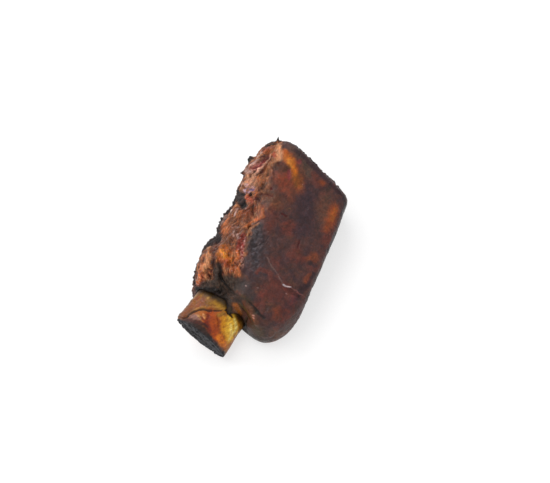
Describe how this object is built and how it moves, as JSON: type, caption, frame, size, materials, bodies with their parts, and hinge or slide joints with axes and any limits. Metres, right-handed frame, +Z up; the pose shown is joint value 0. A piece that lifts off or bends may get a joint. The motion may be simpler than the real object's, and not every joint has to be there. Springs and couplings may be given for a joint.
{
  "type": "roasted beef short rib",
  "caption": "Thick block of dark roasted meat on one flat rib bone, whose bare sawn end sticks out at one side; food that lies flat on its underside.",
  "frame": {"origin": "middle of the underside of the whole rib's box, on the surface that it rests on", "axes": "+X along the bone, from its bare sawn end towards the meat's far end; +Z up from the surface; the torn side of the meat faces +Y and the smooth browned side slopes down to -Y"},
  "size_m": [0.1572, 0.0899, 0.051],
  "materials": {
    "meat": "dark browned crust, half glossy with fat",
    "bone": "roasted yellow to brown, glossy in places, charred at the sawn end"
  },
  "bodies": {
    "root": {"meat": "meat", "bone": "bone"}
  },
  "joints": []
}
